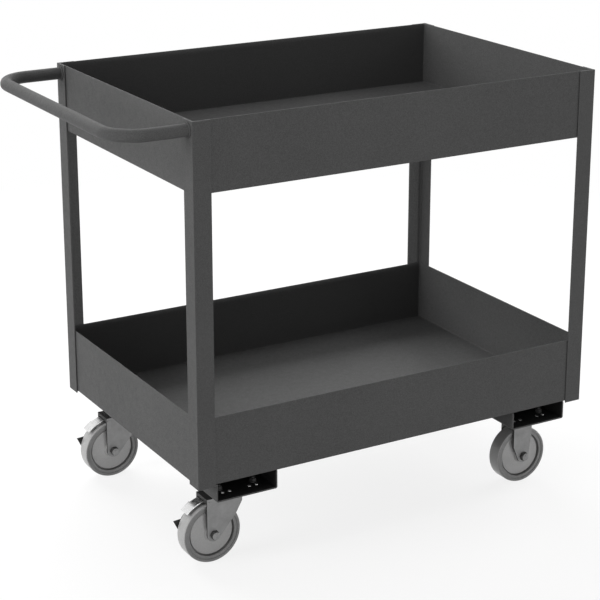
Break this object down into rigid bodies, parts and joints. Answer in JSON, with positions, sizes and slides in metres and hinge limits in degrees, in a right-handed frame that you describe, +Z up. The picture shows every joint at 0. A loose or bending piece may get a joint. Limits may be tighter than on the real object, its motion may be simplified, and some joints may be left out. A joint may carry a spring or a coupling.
{
  "type": "utility cart",
  "caption": "Welded steel utility cart with deep upper and lower trays, angle-iron corner posts, a bent tube push handle, braked swivel casters at the handle end and rigid casters at the nose.",
  "frame": {"origin": "On the floor, at the middle of the whole cart's plan box, handle included.", "axes": "+Z up; +X from the push handle to the nose; -Y the right-hand side of someone pushing."},
  "size_m": [1.0766, 0.62, 0.915],
  "materials": {
    "frame_paint": "satin, finely textured powder coat",
    "fork_steel": "plain grey, low sheen",
    "zinc_hardware": "zinc plated",
    "brake_steel": "bright plated",
    "bright_steel": "polished",
    "wheel_core": "moulded, low sheen",
    "wheel_tread": "smooth, non-marking",
    "bush_nylon": "natural nylon"
  },
  "bodies": {
    "frame": {"axle_bolt_nose_left": "zinc_hardware", "axle_bolt_nose_right": "zinc_hardware", "axle_nut_nose_left": "zinc_hardware", "axle_nut_nose_right": "zinc_hardware", "axle_sleeve_nose_left": "zinc_hardware", "axle_sleeve_nose_right": "zinc_hardware", "caster_bolts": "zinc_hardware", "caster_channel_handle": "frame_paint", "caster_channel_nose": "frame_paint", "caster_nuts": "zinc_hardware", "caster_washers": "zinc_hardware", "corner_post_handle_left": "frame_paint", "corner_post_handle_right": "frame_paint", "corner_post_nose_left": "frame_paint", "corner_post_nose_right": "frame_paint", "kingpin_left": "zinc_hardware", "kingpin_nut_left": "zinc_hardware", "kingpin_nut_right": "zinc_hardware", "kingpin_right": "zinc_hardware", "lower_tray": "frame_paint", "push_handle": "frame_paint", "rigid_fork_left": "fork_steel", "rigid_fork_right": "fork_steel", "swivel_plate_left": "zinc_hardware", "swivel_plate_right": "zinc_hardware", "upper_tray": "frame_paint"},
    "swivel_left": {"axle_bolt_handle_left": "zinc_hardware", "axle_nut_handle_left": "zinc_hardware", "axle_sleeve_handle_left": "zinc_hardware", "brake_pin_left": "zinc_hardware", "brake_spring_left": "bright_steel", "swivel_balls_left": "bright_steel", "swivel_fork_left": "fork_steel", "swivel_washer_left": "zinc_hardware"},
    "brake_left": {"brake_pedal_left": "brake_steel"},
    "wheel_handle_left": {"wheel_bush_handle_left": "bush_nylon", "wheel_core_handle_left": "wheel_core", "wheel_tread_handle_left": "wheel_tread"},
    "wheel_nose_left": {"wheel_bush_nose_left": "bush_nylon", "wheel_core_nose_left": "wheel_core", "wheel_tread_nose_left": "wheel_tread"},
    "swivel_right": {"axle_bolt_handle_right": "zinc_hardware", "axle_nut_handle_right": "zinc_hardware", "axle_sleeve_handle_right": "zinc_hardware", "brake_pin_right": "zinc_hardware", "brake_spring_right": "bright_steel", "swivel_balls_right": "bright_steel", "swivel_fork_right": "fork_steel", "swivel_washer_right": "zinc_hardware"},
    "brake_right": {"brake_pedal_right": "brake_steel"},
    "wheel_handle_right": {"wheel_bush_handle_right": "bush_nylon", "wheel_core_handle_right": "wheel_core", "wheel_tread_handle_right": "wheel_tread"},
    "wheel_nose_right": {"wheel_bush_nose_right": "bush_nylon", "wheel_core_nose_right": "wheel_core", "wheel_tread_nose_right": "wheel_tread"}
  },
  "joints": [
    {"name": "swivel_left_turn", "type": "hinge", "parent": "frame", "child": "swivel_left", "pos_m": [-0.27775, 0.237, 0.14], "axis": [0, 0, 1], "continuous": true},
    {"name": "wheel_handle_left_spin", "type": "hinge", "parent": "swivel_left", "child": "wheel_handle_left", "pos_m": [-0.32775, 0.237, 0.0625], "axis": [0, 1, 0], "continuous": true},
    {"name": "brake_left_press", "type": "hinge", "parent": "swivel_left", "child": "brake_left", "pos_m": [-0.33775, 0.237, 0.1305], "axis": [0, -1, 0], "range_deg": [0, 7.5]},
    {"name": "wheel_nose_left_spin", "type": "hinge", "parent": "frame", "child": "wheel_nose_left", "pos_m": [0.43025, 0.237, 0.0625], "axis": [0, 1, 0], "continuous": true},
    {"name": "swivel_right_turn", "type": "hinge", "parent": "frame", "child": "swivel_right", "pos_m": [-0.27775, -0.237, 0.14], "axis": [0, 0, 1], "continuous": true},
    {"name": "wheel_handle_right_spin", "type": "hinge", "parent": "swivel_right", "child": "wheel_handle_right", "pos_m": [-0.32775, -0.237, 0.0625], "axis": [0, 1, 0], "continuous": true},
    {"name": "brake_right_press", "type": "hinge", "parent": "swivel_right", "child": "brake_right", "pos_m": [-0.33775, -0.237, 0.1305], "axis": [0, -1, 0], "range_deg": [0, 7.5]},
    {"name": "wheel_nose_right_spin", "type": "hinge", "parent": "frame", "child": "wheel_nose_right", "pos_m": [0.43025, -0.237, 0.0625], "axis": [0, 1, 0], "continuous": true}
  ]
}
